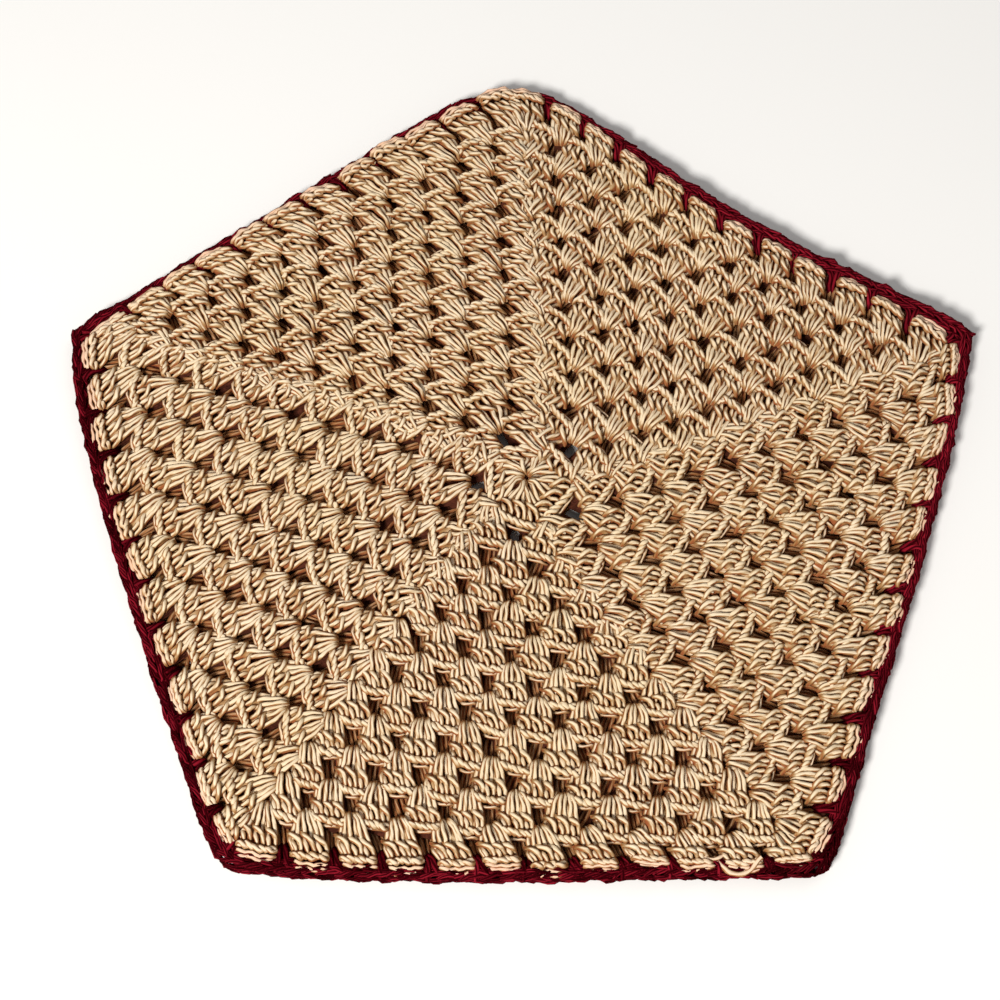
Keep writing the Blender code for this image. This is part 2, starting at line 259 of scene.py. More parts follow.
def back_rim_depth(side, t):
    """Where the back panel ends inside the outline, clear of the edging all round."""
    return edging_width(side, t) + EDGING_CLEAR


def put(name, data):
    """A new object in the scene, made of the data."""
    made = bpy.data.objects.new(name, data)
    bpy.context.scene.collection.objects.link(made)
    return made


# ---- node trees

def pick(sockets, name):
    """The socket of that name which is in use, or the first in use where there is no name."""
    for each in sockets:
        if each.enabled and name in (None, each.name):
            return each
    raise KeyError(f"no socket {name}")


def operation(kind, reflected=False):
    """A Python operator that adds the maths node of that kind."""
    def apply(self, other):
        pair = (other, self) if reflected else (self, other)
        return self.tree.maths(kind, *pair)
    return apply


class Value:
    """A socket that takes part in sums, each of which adds a maths node to its tree."""

    def __init__(self, tree, socket):
        self.tree = tree
        self.socket = socket

    __add__, __radd__ = operation("ADD"), operation("ADD", True)
    __sub__, __rsub__ = operation("SUBTRACT"), operation("SUBTRACT", True)
    __mul__, __rmul__ = operation("MULTIPLY"), operation("MULTIPLY", True)
    __truediv__, __rtruediv__ = operation("DIVIDE"), operation("DIVIDE", True)


class Tree:
    """A node tree to which nodes are added, each with its settings first and then its sockets."""

    def __init__(self, nodes):
        self.nodes = nodes

    def node(self, kind, sockets=None, output=None, **settings):
        made = self.nodes.nodes.new(kind)
        for name, value in settings.items():
            if name == "stops":
                self.fill_ramp(made.color_ramp, value)
            else:
                setattr(made, name, value)
        for name, value in (sockets or {}).items():
            self.feed(pick(made.inputs, name), value)
        return Value(self, pick(made.outputs, output))

    def fill_ramp(self, ramp, stops):
        while len(ramp.elements) < len(stops):
            ramp.elements.new(1.0)
        for element, (place, shade) in zip(ramp.elements, stops):
            element.position = place
            element.color = (*shade, 1.0)

    def feed(self, socket, value):
        if isinstance(value, Value):
            self.nodes.links.new(value.socket, socket)
        elif socket.type == "RGBA" and len(value) == 3:
            socket.default_value = (*value, 1.0)
        else:
            socket.default_value = value

    def maths(self, kind, *values):
        """A maths node over numbers or vectors. A vector times a number is scaled by it."""
        vectors = [isinstance(each, Vector) or isinstance(each, Value)
                   and each.socket.type in ("VECTOR", "RGBA") for each in values]
        if kind == "MULTIPLY" and len(set(vectors)) == 2:
            vector, number = values if vectors[0] else reversed(values)
            return self.node("ShaderNodeVectorMath", {"Vector": vector, "Scale": number},
                             operation="SCALE")
        made = self.nodes.nodes.new("ShaderNodeVectorMath" if any(vectors) else "ShaderNodeMath")
        made.operation = kind
        for socket, value in zip(made.inputs, values):
            self.feed(socket, value)
        return Value(self, pick(made.outputs, None))

    def part(self, vector, axis):
        """One coordinate of a vector."""
        made = self.nodes.nodes.new("ShaderNodeSeparateXYZ")
        self.feed(made.inputs[0], vector)
        return Value(self, made.outputs[axis])

    def smooth(self, value, low, high, start=0.0, end=1.0):
        """The value's place between two limits, eased at both ends."""
        sockets = {"Value": value, "From Min": low, "From Max": high, "To Min": start,
                   "To Max": end}
        return self.node("ShaderNodeMapRange", sockets, interpolation_type="SMOOTHSTEP")

    def blend(self, factor, first, second, kind="MIX"):
        """One colour laid over another."""
        made = self.nodes.nodes.new("ShaderNodeMix")
        made.data_type, made.blend_type = "RGBA", kind
        made.clamp_factor = True
        for place, value in ((0, factor), (6, first), (7, second)):
            self.feed(made.inputs[place], value)
        return Value(self, made.outputs[2])


# ---- how strands are worked

PLACE_VECTORS = ("base", "reach", "near", "far", "rise")
STRAND_NUMBERS = ("foot", "girth", "blush")
WORK_INPUTS = (
    ("Pattern", "Object"), ("Yarn Radius", "Float"), ("Yarn Sides", "Int"), ("Step", "Float"),
    ("Unevenness", "Float"), ("Wave", "Float"), ("Seed", "Int"), ("Yarn", "Material"))
DRIFT = 4.0  # how strongly the noise moves a strand, in times the unevenness
OWN_DRIFT = (0.45, 0.45, 0.8)  # how far a strand may lie from its place, likewise
LEAST_HEIGHT = 1.5  # of a strand's line over the table, in yarn radii
LUMP_LENGTH = 1.4 * MM  # over which the yarn's thickness changes
THINNEST, LUMPINESS = 0.68, 0.7  # share of the yarn's thickness, and how much lumps add to it


def work_tree():
    """Geometry Nodes that work a pattern of strands at every place and turn them into yarn."""
    group = bpy.data.node_groups.new("Work Strands", "GeometryNodeTree")
    group.interface.new_socket("Places", in_out="INPUT", socket_type="NodeSocketGeometry")
    for name, kind in WORK_INPUTS:
        group.interface.new_socket(name, in_out="INPUT", socket_type="NodeSocket" + kind)
    group.interface.new_socket("Strands", in_out="OUTPUT", socket_type="NodeSocketGeometry")
    tree = Tree(group)
    entry = group.nodes.new("NodeGroupInput")
    given = {each.name: Value(tree, each) for each in entry.outputs if each.name}

    def read(name, kind="FLOAT"):
        return tree.node("GeometryNodeInputNamedAttribute", {"Name": name}, data_type=kind)

    def note(geometry, name, value, kind="FLOAT", domain="POINT"):
        sockets = {"Geometry": geometry, "Name": name, "Value": value}
        return tree.node("GeometryNodeStoreNamedAttribute", sockets, data_type=kind, domain=domain)

    pattern = tree.node("GeometryNodeObjectInfo", {"Object": given["Pattern"]}, "Geometry")
    drawn = tree.node("GeometryNodeMeshToCurve", {"Mesh": pattern})
    placed = tree.node("GeometryNodeInstanceOnPoints",
                       {"Points": given["Places"], "Instance": drawn})
    real = tree.node("GeometryNodeRealizeInstances", {"Geometry": placed})

    here = tree.node("GeometryNodeInputPosition")
    base, reach, near, far, rise = (read(name, "FLOAT_VECTOR") for name in PLACE_VECTORS)
    place = (base + far * tree.part(here, "X") + reach * tree.part(here, "Y")
             + rise * tree.part(here, "Z") + near * read("foot"))
    bent = tree.node("GeometryNodeSetPosition", {"Geometry": real, "Position": place})

    soft = tree.node("GeometryNodeCurveSplineType", {"Curve": bent}, spline_type="CATMULL_ROM")
    fine = tree.node("GeometryNodeResampleCurve", {"Curve": soft, "Length": given["Step"]},
                     mode="LENGTH")
    cloud = tree.node(
        "ShaderNodeTexNoise", {"Vector": here / given["Wave"], "Scale": 1.0, "W": given["Seed"],
                               "Detail": 1.5}, "Color", noise_dimensions="4D")
    strand = tree.node("GeometryNodeCurveOfPoint", output="Curve Index")
    limits = {"Min": [-part for part in OWN_DRIFT], "Max": OWN_DRIFT}
    own = tree.node("FunctionNodeRandomValue", {**limits, "ID": strand, "Seed": given["Seed"]},
                    data_type="FLOAT_VECTOR")
    drift = here + ((cloud - Vector((0.5, 0.5, 0.5))) * DRIFT + own) * given["Unevenness"]
    on_table = tree.node("ShaderNodeCombineXYZ", {
        "X": tree.part(drift, "X"), "Y": tree.part(drift, "Y"),
        "Z": tree.maths("MAXIMUM", tree.part(drift, "Z"), given["Yarn Radius"] * LEAST_HEIGHT)})
    uneven = tree.node("GeometryNodeSetPosition", {"Geometry": fine, "Position": on_table})

    order = tree.node("GeometryNodeSplineParameter", output="Length")
    measured = note(uneven, "run", order / MM)
    chance = tree.node("FunctionNodeRandomValue",
                       {"ID": tree.node("GeometryNodeInputIndex"), "Seed": given["Seed"]})
    toned = note(measured, "tone", chance, domain="CURVE")

    ring = tree.node("GeometryNodeCurvePrimitiveCircle",
                     {"Resolution": given["Yarn Sides"], "Radius": 1.0}, mode="RADIUS")
    marked = note(ring, "ring", here, "FLOAT_VECTOR")
    lumps = tree.node("ShaderNodeTexNoise", {"Vector": here * (1.0 / LUMP_LENGTH), "Scale": 1.0},
                      "Fac")
    girth = read("girth") * given["Yarn Radius"] * (lumps * LUMPINESS + THINNEST)
    yarn = tree.node("GeometryNodeCurveToMesh",
                     {"Curve": toned, "Profile Curve": marked, "Fill Caps": True, "Scale": girth})
    shaded = tree.node("GeometryNodeSetShadeSmooth", {"Geometry": yarn})
    plain = tree.node("GeometryNodeRealizeInstances", {"Geometry": shaded})
    done = tree.node("GeometryNodeSetMaterial", {"Geometry": plain, "Material": given["Yarn"]})
    leave = group.nodes.new("NodeGroupOutput")
    group.links.new(done.socket, leave.inputs[0])
    return group


def pattern_object(name, strands):
    """Strands as lines, each point (spread, along, height in mm, foot, girth, blush)."""
    points, lines = [], []
    for strand in strands:
        first = len(points)
        points += strand
        lines += [(at, at + 1) for at in range(first, len(points) - 1)]
    data = bpy.data.meshes.new(name)
    data.from_pydata([(x, y, z * MM) for x, y, z, *_ in points], lines, [])
    for place, number in enumerate(STRAND_NUMBERS):
        made = data.attributes.new(number, "FLOAT", "POINT")
        made.data.foreach_set("value", [point[3 + place] for point in points])
    return put(name, data)


def places_object(name, places):
    """One point for each place, all at the origin, which carry the place's own vectors."""
    data = bpy.data.meshes.new(name)
    data.from_pydata([(0.0, 0.0, 0.0)] * len(places), [], [])
    for column, vector in enumerate(PLACE_VECTORS):
        made = data.attributes.new(vector, "FLOAT_VECTOR", "POINT")
        made.data.foreach_set("vector", [part for place in places for part in place[column]])
    return put(name, data)


def work(name, strands, places, material, **inputs):
    """Works the strands at every place, and returns them as a plain mesh."""
    group = bpy.data.node_groups.get("Work Strands") or work_tree()
    pattern = pattern_object(name + "_pattern", strands)
    host = places_object(name + "_places", places)
    modifier = host.modifiers.new("work", "NODES")
    modifier.node_group = group
    yarn = bpy.context.scene.mat_yarn
    values = {"Pattern": pattern, "Yarn": material, "Yarn Radius": yarn.radius,
              "Yarn Sides": yarn.sides, "Step": yarn.step, "Unevenness": yarn.unevenness,
              "Wave": yarn.wave, "Seed": yarn.seed, **inputs}
    for item in group.interface.items_tree:
        if item.in_out == "INPUT" and item.name in values:
            modifier[item.identifier] = values[item.name]
    layer = bpy.context.evaluated_depsgraph_get()
    data = bpy.data.meshes.new_from_object(host.evaluated_get(layer), depsgraph=layer,
                                           preserve_all_data_layers=True)
    if not data.polygons:
        raise RuntimeError(f"{name}: the nodes made no yarn")
    data.name = name
    data.materials.clear()
    data.materials.append(material)
    for scratch in (host, pattern):
        bpy.data.objects.remove(scratch, do_unlink=True)
    return put(name, data)


# ---- patterns

def eased(value):
    """The value kept between 0 and 1, and eased at both ends."""
    value = min(1.0, max(0.0, value))
    return value * value * (3.0 - 2.0 * value)


def fanned(spread, x, y, z, girth=1.0, blush=0.0):
    """A point of a cluster, at x from -1 to 1 across it and y from its base to its chain."""
    foot = 1.0 + FOOT_SLOPE * y if y < 0.0 else 1.0 - eased(y / SPREAD_AT)
    crown = DOME * (DOME_LEVEL - x * x)
    return (x * spread * eased(y / SPREAD_AT), y, z + crown, x * foot, girth, blush)


def fan(spread, *points):
    """A strand of a cluster, through points that each give x, y, z and perhaps girth and blush."""
    return [fanned(spread, *point) for point in points]


def treble(x, spread, lifts):
    """The strands of one treble: two long legs, the yarn wrapped round them, a short leg."""
    legs = []
    full = LEG_GIRTH * spread
    for lean, lift in zip((-0.16, 0.14), lifts):
        at = x + lean
        legs.append(fan(
            spread, (at, BASE_START, 1.2, 0.9), (at, BASE_START + 0.09, 2.6 + lift, 0.95),
            (at, -0.04, 3.0 + lift), (at, 0.24, 2.8 + lift, full), (at, 0.44, 2.4 + lift, full),
            (at + 0.02, 0.60, 1.4)))
    wrap = fan(
        spread, (x - 0.37, 0.36, 1.5), (x - 0.27, 0.42, 2.5, 1.1), (x - 0.06, 0.50, 3.4, 1.2),
        (x + 0.13, 0.57, 3.4, 1.2), (x + 0.23, 0.66, 2.9, 1.1), (x + 0.27, 0.79, 2.3, 1.1),
        (x + 0.27, 0.94, 1.2))
    short = fan(
        spread, (x - 0.20, 0.54, 1.3), (x - 0.14, 0.66, 2.3, 1.1), (x - 0.04, 0.80, 2.6, 1.1),
        (x - 0.02, 0.97, 1.2))
    return [*legs, wrap, short]


def trebles(spread):
    """The three trebles of a cluster, a strand beside them and two thick ones as its inside."""
    lifts = ((-0.8, -0.2), (0.2, -0.7), (0.0, 0.3))
    strands = [line for x, pair in zip((-0.62, 0.0, 0.62), lifts)
               for line in treble(x, spread, pair)]
    strands.append(fan(spread, (-0.86, 0.44, 1.0), (-0.93, 0.58, 2.0), (-0.88, 0.76, 2.2),
                       (-0.80, 0.94, 1.2)))
    # The two thick inside strands are painted darker with a negative tint, as shade inside the cluster.
    for x in (-0.42, 0.42):
        strands.append(fan(spread, (x, -0.12, 0.7, 1.7, SHADED), (x, 0.15, 1.2, 2.3, SHADED),
                           (x, 0.50, 1.1, 3.8 * spread, SHADED), (x, 0.92, 0.3, 2.4, SHADED)))
    return strands


def wavy_line(reach, middle, sway, height, girth=1.0, blush=0.0, waves=2, sag=0.06, tilt=0.0):
    """A strand that runs along a cluster's outer edge in shallow waves, its middle outermost."""
    line = []
    last = 4 * waves
    for at in range(last + 1):
        share = 2.0 * at / last - 1.0
        phase = math.pi * at / 2.0
        lift = -END_DIP if at in (0, last) else WAVE_LIFT * sway * math.cos(phase)
        along = middle + sway * math.sin(phase) + sag * (0.5 - share * share) + tilt * share
        line.append((reach * share, along, height + lift, 0.0, girth, blush))
    return line


def cluster_pattern(spread):
    """A cluster of the inner rounds."""
    return [
        *trebles(spread),
        wavy_line(0.94 * spread, 0.97, 0.07, 2.8, 1.25, waves=3, tilt=0.05),
        wavy_line(0.90 * spread, 1.01, -0.07, 2.8, 1.25, waves=3, tilt=0.05),
        wavy_line(0.60 * spread, 1.15, 0.02, 1.8, 0.8, 0.2, waves=1, tilt=0.03),
    ]


def rim_pattern(spread):
    """A cluster of the last round, with the extra lines of its outer edge."""
    return [
        *trebles(spread),
        wavy_line(0.92 * spread, 1.00, 0.06, 2.9, 1.15, 0.1, sag=0.04, waves=3),
        wavy_line(0.95 * spread, 1.05, -0.06, 2.9, 1.15, 0.2, sag=0.04, waves=3),
        wavy_line(0.97 * spread, 1.20, -0.025, 2.4, 0.95, 0.5, sag=0.05, waves=3),
        wavy_line(0.90 * spread, 1.31, 0.025, 1.9, 0.9, 0.8, sag=0.07, waves=2),
    ]


def plain_pattern():
    """A cluster of the back panel: its strands simply side by side, and its chain."""
    legs = [fan(BACK_SPREAD, (x, BASE_START, 1.2), (x, 0.05, 2.9), (x, 0.5, 3.0, 1.2),
                (x, 0.98, 1.6, 1.2)) for x in (-0.85, -0.51, -0.17, 0.17, 0.51, 0.85)]
    return [*legs, wavy_line(0.72, 0.98, 0.05, 2.7, 1.2), wavy_line(0.68, 1.02, -0.05, 2.5, 1.2)]


def plain_rim_pattern():
    """A cluster of the back panel's last round."""
    return [*plain_pattern(), wavy_line(0.82, 1.16, 0.03, 2.4, 1.2),
            wavy_line(0.80, 1.32, -0.03, 2.0, 1.2)]


def reverse_pattern():
    """The strands of the back panel that show in a gap of the front one, high and low in turn."""
    course = ((0.9, -0.15, 0.9), (1.0, 0.05, 0.0), (1.05, 0.35, 0.0), (1.0, 0.70, 0.0),
              (0.9, 0.95, 0.9))
    # A tint value of 0.55 lifts these strands out of the painted shade deep in the mat and lays the pink
    # tint over them.
    return [[(x * widening, along, height - drop, 0.0, 1.05, 0.55)
             for widening, along, drop in course]
            for x, height in ((-1.75, 2.3), (-0.65, 2.65), (0.4, 2.3), (1.5, 2.65))]


def flat(*points):
    """A strand of the edging, through points that each give x, y, z and girth."""
    return [(x, y, z, 0.0, girth, 0.0) for x, y, z, girth in points]


def edging_pattern():
    """A stitch of the edging: three strands on top, three down its side, one below, one inside."""
    return [
        flat((-2, 0.10, 4.5, 0.7), (-1, 0.17, 5.2, 0.9), (0.6, 0.30, 5.4, 0.9), (2, 0.42, 4.5, 0.7)),
        flat((-2, 0.62, 4.4, 0.7), (-0.8, 0.55, 5.3, 0.9), (0.8, 0.45, 5.3, 0.9), (2, 0.32, 4.4, 0.7)),
        flat((-2, 0.68, 4.2, 0.7), (-0.8, 0.76, 4.9, 0.9), (0.8, 0.86, 4.9, 0.9), (2, 0.94, 4.2, 0.7)),
        flat((-1.9, 0.05, 4.6, 0.7), (-0.9, -0.02, 4.1, 0.9), (0.5, 0, 3.6, 0.9), (1.9, 0.08, 3.2, 0.7)),
        flat((-1.7, 0.12, 3.2, 0.8), (0, 0.04, 2.9, 1), (1.7, 0.12, 2.4, 0.8)),
        flat((-1.9, 0.1, 2.2, 0.9), (-0.8, 0.02, 1.8, 1.1), (0.5, 0.02, 1.2, 1.1), (1.8, 0.2, 0.9, 0.9)),
        flat((-1.3, 0.80, 0.9, 0.9), (-0.3, 0.60, 0.5, 1), (0.6, 0.35, 0.5, 1), (1.4, 0.20, 1, 0.9)),
        flat((-1.2, 0.55, 3, 2.6), (0, 0.55, 3, 2.6), (1.2, 0.55, 3, 2.6)),
    ]


def bar_pattern():
    """A bar of the edging: two strands that part on its top, and go down into the notch."""
    return [flat((half * 1.7, -0.06, 3.8, 1.2), (half * 1.2, 0.08, 4.9, 1.3),
                 (half * 0.75, 0.32, 5.3, 1.3), (half * 0.60, 0.62, 4.8, 1.3),
                 (half * 0.5, 0.88, 3.2, 1.3), (half * 0.5, 1.0, 1.2, 1.2)) for half in (-1.0, 1.0)]


# ---- places

def flat_place(base, reach, near, far, floor, rise):
    """A place from its vectors in the mat's plane, the height of its floor and its rise."""
    return (base.to_3d() + START + Vector((0, 0, floor)), reach.to_3d(), near.to_3d(),
            far.to_3d(), Vector((0.0, 0.0, rise)))


def unevenly(vector, chance, turn_deg, stretch):
    """The vector turned and stretched a little, by chance."""
    turned = Matrix.Rotation(math.radians(chance.gauss(0.0, turn_deg)), 2) @ vector
    return turned * (1.0 + chance.gauss(0.0, stretch))


def cluster_places(side, levels, floor, rise, under, chance):
    """Places of a sector's clusters.

    The back panel's lie half a cluster further on, so that they cross the front panel's gaps,
    but not in the first two rounds, whose five gaps go through both.
    """
    depth = back_rim_depth if under else rim_depth
    places = []
    for level in levels:
        shifted = under and level > 2
        chain = ROUNDS if level == ROUNDS else level + 0.5
        for index in range(level):
            centre = -1.0 + 2.0 * (index + (0.0 if shifted else 0.5)) / level
            half = 1.0 / level
            top = spot(side, chain, centre, depth)
            before, after = (spot(side, chain, centre + step, depth) for step in (-half, half))
            far = (after - before) * 0.5
            if level == 1:
                base = top * FIRST_BASE_SHARE
            else:
                back_step = 0.5 if shifted and index > 0 else 0.0
                base = spot(side, level - 0.5, -1.0 + 2.0 * (index - back_step) / (level - 1))
            reach = top - base
            if level == ROUNDS:
                reach /= RIM_LINES
            reach = unevenly(reach, chance, turn_deg=3.5, stretch=0.035)
            near = Vector((-reach.y, reach.x)).normalized()
            near *= FIRST_BASE_HALF if level == 1 else BASE_HALF
            far = unevenly(far, chance, turn_deg=3.0, stretch=0.02)
            places.append(flat_place(base, reach, near, far, floor,
                                     rise * (1.0 + chance.gauss(0.0, RISE_SPREAD))))
    return places


def edging_height(side, t):
    """Height of the edging as a share of its full one, lower under the rolled rim."""
    room = (band(side, t) - EDGING_CLEAR) / EDGING_MIN_WIDTH
    return LOW_EDGING + (1.0 - LOW_EDGING) * eased((room - ROLLED_FROM) / (1.0 - ROLLED_FROM))


def edging_places():
    places = []
    count = ROUNDS * EDGING_STITCHES
    for side in range(SIDES):
        for index in range(count):
            t = -1.0 + 2.0 * (index + 0.5) / count
            outer = from_outline(side, t, EDGING_INSET)
            inner = from_outline(side, t, max(EDGING_MIN_WIDTH, band(side, t) + EDGING_UNDER))
            before, after = (from_outline(side, t + step / count, 0.0) for step in (-1.0, 1.0))
            far = (after - before) * 0.5
            places.append(flat_place(outer, inner - outer, far, far, 0.0,
                                     edging_height(side, t)))
    return places


def gap_line(side, level, index, back_step=0.0):
    """From the outer end to the inner end of the gap before a cluster, chain to chain.

    The outermost round's gaps are the rim's notches. At a corner the line is the corner's own.
    """
    chain = ROUNDS if level == ROUNDS else level + 0.5
    outer = spot(side, chain, -1.0 + 2.0 * (index - back_step) / level)
    step = 0.5 + back_step if index > 0 else 0.0
    inner = spot(side, level - 0.5, -1.0 + 2.0 * (index - step) / (level - 1))
    return outer, inner


def bar_places():
    places = []
    for side in range(SIDES):
        for index in range(ROUNDS):
            outer, inner = gap_line(side, ROUNDS, index)
            out = (outer - inner).normalized()
            room = band(side, -1.0 + 2.0 * index / ROUNDS)
            full = eased(room / BAR_BAND)
            crest = outer + out * (room * BAR_CREST - BAR_INSET - LOW_BAR_INSET * (1.0 - full))
            reach = outer.lerp(inner, 0.5) - crest
            far = Vector((-reach.y, reach.x)).normalized() * (BAR_HALF + WIDER_BAR * full)
            places.append(flat_place(crest, reach, far, far, 0.0,
                                     LOW_BAR + (1.0 - LOW_BAR) * full))
    return places


def reverse_places(chance):
    """Places in the gaps of the front panel, but for the five that go through."""
    places = []
    for level in range(3, ROUNDS + 1):
        for side in range(SIDES):
            for index in range(1, level):
                outer, inner = gap_line(side, level, index)
                turned = unevenly(outer - inner, chance, turn_deg=14.0, stretch=0.03)
                far = Vector((-turned.y, turned.x)).normalized() * MM
                places.append(flat_place(inner, turned, far, far, 0.0, 1.0))
    return places


def loose_strands():
    """Yarn that has come loose by the lower right corner: a slack loop and a cut end."""
    loop = [(39.0, -90.2, 4.8), (40.0, -91.1, 5.6), (41.3, -91.6, 6.0), (43.2, -91.4, 6.0),
            (45.0, -90.2, 5.2)]
    end = [(42.4, -91.2, 4.4), (43.4, -92.8, 5.6), (44.9, -94.5, 6.0), (46.6, -95.3, 5.8),
           (48.3, -95.2, 5.7), (50.1, -94.1, 6.0), (52.4, -91.6, 6.8)]
    return [[(x * MM, y, z, 0.0, girth, 0.3) for x, y, z in strand]
            for strand, girth in ((loop, 0.8), (end, 1.2))]


def mat_place():
    """The place whose strands are drawn in the mat's own millimetres."""
    along = Vector((1.0, 0.0))
    return flat_place(Vector((0.0, 0.0)), Vector((0.0, MM)), along, along, 0.0, 1.0)


# ---- grounds

def gap_ring(side, level, index, under):
    """The four corners of the gap before a cluster, under being in the back panel."""
    outer, inner = gap_line(side, level, index, 0.5 if under and level > 2 else 0.0)
    out = (outer - inner).normalized()
    along = Vector((-out.y, out.x)) * -GAP_HALF * (NARROWER if under and level == 2 else 1.0)
    near, far = inner.lerp(outer, GAP_START), inner.lerp(outer, GAP_END)
    return [near - along, near + along, far + along, far - along]


def ground(name, low, under):
    """The thin cloth that the stitches of a panel stand on, with the panel's gaps in it, painted dark as
    the shade between the strands.
    """
    depth = back_rim_depth if under else rim_depth
    rim = []
    for side in range(SIDES):
        for index in range(ROUNDS):
            outer, inner = gap_line(side, ROUNDS, index)
            along = Vector((-outer.y, outer.x)).normalized() * NOTCH_HALF
            mouth, deep = outer.lerp(inner, NOTCH_START), outer.lerp(inner, NOTCH_END)
            rim += [mouth - along, deep - along, deep + along, mouth + along]
            middle = -1.0 + 2.0 * (index + 0.5) / ROUNDS
            rim.append(from_outline(side, middle, depth(side, middle) + GROUND_INSET))
    rings = [rim]
    for level in range(2, ROUNDS):
        for side in range(SIDES):
            rings += [gap_ring(side, level, index, under) for index in range(1, level)]
    mesh = bmesh.new()
    edges = []
    for ring in rings:
        corners = [mesh.verts.new((*(place + START.xy), low)) for place in ring]
        edges += [mesh.edges.new(pair) for pair in zip(corners, corners[1:] + corners[:1])]
    bmesh.ops.triangle_fill(mesh, edges=edges, use_beauty=True, normal=(0, 0, 1))
    made = bmesh.ops.extrude_face_region(mesh, geom=mesh.faces[:])["geom"]
    lifted = [each for each in made if isinstance(each, bmesh.types.BMVert)]
    bmesh.ops.translate(mesh, verts=lifted, vec=(0.0, 0.0, GROUND_THICKNESS))
    bmesh.ops.recalc_face_normals(mesh, faces=mesh.faces)
    data = bpy.data.meshes.new(name)
    mesh.to_mesh(data)
    mesh.free()
    data.materials.append(finish_of("cotton_inside_shade", ground_shade_cotton))
    return put(name, data)


# ---- materials

# Painted shade on the cream yarn is darkest at this height, deep among the stitches.
MAT_MIDDLE = 2.6 * MM  # the height at which the cream yarn is deepest in the mat


def principled(name, **constants):
    """A new material, its tree and its shader with the given constants on its own sockets."""
    made = bpy.data.materials.new(name)
    made.use_nodes = True
    shader = made.node_tree.nodes["Principled BSDF"]
    for socket, value in constants.items():
        shader.inputs[socket.replace("_", " ")].default_value = value
    return made, Tree(made.node_tree), shader


def attribute(tree, name, output="Fac"):
    return tree.node("ShaderNodeAttribute", output=output, attribute_name=name)


def object_place(tree):
    return tree.node("ShaderNodeTexCoord", output="Object")


def noise(tree, scale, detail, **more):
    """Noise over the piece's own place, of the given lumps to a metre."""
    sockets = {"Vector": object_place(tree), "Scale": scale, "Detail": detail, **more}
    return tree.node("ShaderNodeTexNoise", sockets, "Fac")


def relief(tree, shader, height, strength, distance):
    """Gives the shader's surface a fine relief."""
    bump = tree.node("ShaderNodeBump", {"Height": height, "Strength": strength,
                                        "Distance": distance})
    tree.feed(shader.inputs["Normal"], bump)


def yarn_detail(tree, plies, pitch):
    """Height of the plies, which turn once in the pitch in mm, and of the fuzz, from 0 to 1."""
    ring = attribute(tree, "ring", "Vector")
    angle = tree.maths("ARCTAN2", tree.part(ring, "Y"), tree.part(ring, "X"))
    turn = angle * plies + attribute(tree, "run") * (2.0 * math.pi / pitch)
    ply = tree.maths("SINE", turn) * 0.5 + 0.5
    return ply, noise(tree, 2600.0, 3.0, Roughness=0.7)


def cream_cotton(colours):
    """Cream yarn, with painted light and shade: palest on top of a strand, brown between strands and
    deep in the mat.
    """
    made, tree, shader = principled("cream_yarn", Roughness=0.8, Specular_IOR_Level=0.0)
    ply, fuzz = yarn_detail(tree, 3.0, 3.6)
    # Painted shade: the yarn is darker the nearer it lies to the mat's middle height, deep among the
    # stitches.
    away = tree.maths("ABSOLUTE", tree.part(object_place(tree), "Z") - MAT_MIDDLE)
    painted_depth_light = tree.smooth(away, 0.3 * MM, 3.3 * MM)
    patches = noise(tree, 45.0, 3.0)
    # Painted light: a strand is lighter where its surface faces up and darker on its sides.
    facing = tree.node("ShaderNodeTexCoord", output="Normal")
    level = tree.smooth(tree.maths("ABSOLUTE", tree.part(facing, "Z")), 0.35, 1.0)
    blush = attribute(tree, "blush")
    # Painted light and shade come from facing, depth, the ply grooves and negative tint values; each
    # strand's tone, the patches and the fuzz noise vary it; positive tint values lift it.
    light = ((level * 0.85 + 0.15) * (painted_depth_light * 0.8 + 0.2) + (ply - 0.5) * 0.32
             + (fuzz - 0.5) * 0.25 + (attribute(tree, "tone") - 0.5) * 0.25
             + (patches - 0.5) * 0.35 + tree.maths("MINIMUM", blush, 0.0) * 0.45
             + tree.maths("MAXIMUM", blush, 0.0) * 0.35)
    # Lit and shaded copies of the yarn: painted shade deep and in the grooves, the plain yarn, and a
    # painted highlight on top.
    ramp = tree.node("ShaderNodeValToRGB", {"Fac": light}, "Color", stops=(
        (0.04, colours.deep), (0.32, colours.groove_shade), (0.63, colours.yarn), (0.91, colours.pale_highlight)))
    warm = tree.blend(tree.smooth(patches, 0.4, 0.65) * 0.5, ramp, colours.aged, "MULTIPLY")
    # The pink tint goes only where the tint value is positive.
    shade = tree.blend(blush * 0.65, warm, colours.blush, "MULTIPLY")
    tree.feed(shader.inputs["Base Color"], shade)
    tree.feed(shader.inputs["Roughness"], tree.smooth(fuzz, 0.3, 0.7, 0.7, 0.9))
    relief(tree, shader, ply * 0.75 + fuzz * 0.4, 0.7, 0.16 * MM)
    return made


def ground_shade_cotton(colours):
    """Painted shade: the inside of the cloth, painted dark as it is seen in shade between the strands.
    """
    made, tree, shader = principled("cotton_inside_shade", Roughness=0.95, Specular_IOR_Level=0.1)
    strands = noise(tree, 900.0, 2.0, Distortion=0.8)
    shade = tree.blend(tree.smooth(strands, 0.35, 0.65), colours.inside,
                       tuple(2.0 * part for part in colours.inside))
    tree.feed(shader.inputs["Base Color"], shade)
    relief(tree, shader, strands, 0.8, 0.3 * MM)
    return made


